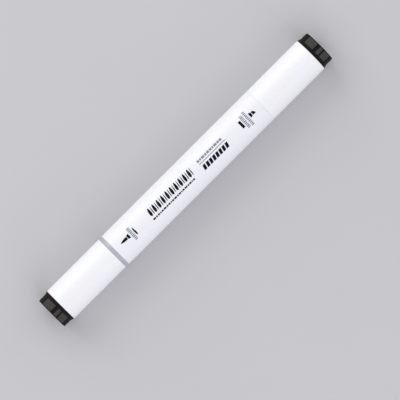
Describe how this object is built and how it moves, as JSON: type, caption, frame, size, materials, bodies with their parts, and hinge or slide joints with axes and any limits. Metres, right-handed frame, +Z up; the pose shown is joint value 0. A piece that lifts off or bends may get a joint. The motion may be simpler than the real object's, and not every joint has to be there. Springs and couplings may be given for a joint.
{
  "type": "twin-tip art marker",
  "caption": "Double-ended felt tip marker with a round white barrel, a brush nib and a broad chisel nib, and a pull-off cap with a black end plug over each.",
  "frame": {"origin": "under the middle of the marker's length, on the surface it lies on", "axes": "+X along the marker's axis from the brush end to the chisel end, +Z up from the surface to the printed side"},
  "size_m": [0.1518, 0.0156, 0.0156],
  "materials": {
    "barrel_white": "satin moulded white",
    "cap_white": "satin moulded white",
    "holder_white": "moulded white, slightly greyer",
    "holder_grey": "glossy bluish grey",
    "liner_natural": "matte natural polypropylene",
    "plug_black": "glossy black with matte textured pads",
    "brush_felt": "ink-soaked soft brush",
    "chisel_felt": "ink-soaked firm felt",
    "ink_fibre": "ink-soaked polyester fibre",
    "film_clear": "thin film wrap"
  },
  "bodies": {
    "pen": {"barrel": "barrel_white", "reservoir_core": "ink_fibre", "reservoir_film": "film_clear", "brush_holder": "holder_grey", "brush_nib": "brush_felt", "chisel_holder": "holder_white", "chisel_nib": "chisel_felt"},
    "brush_cap": {"brush_cap_shell": "cap_white", "brush_cap_liner": "liner_natural", "brush_cap_plug": "plug_black"},
    "chisel_cap": {"chisel_cap_shell": "cap_white", "chisel_cap_liner": "liner_natural", "chisel_cap_plug": "plug_black"}
  },
  "joints": [
    {"name": "brush_cap_pull", "type": "slide", "parent": "pen", "child": "brush_cap", "axis": [-1, 0, 0], "range_m": [0, 0.045]},
    {"name": "chisel_cap_pull", "type": "slide", "parent": "pen", "child": "chisel_cap", "axis": [1, 0, 0], "range_m": [0, 0.045]}
  ]
}
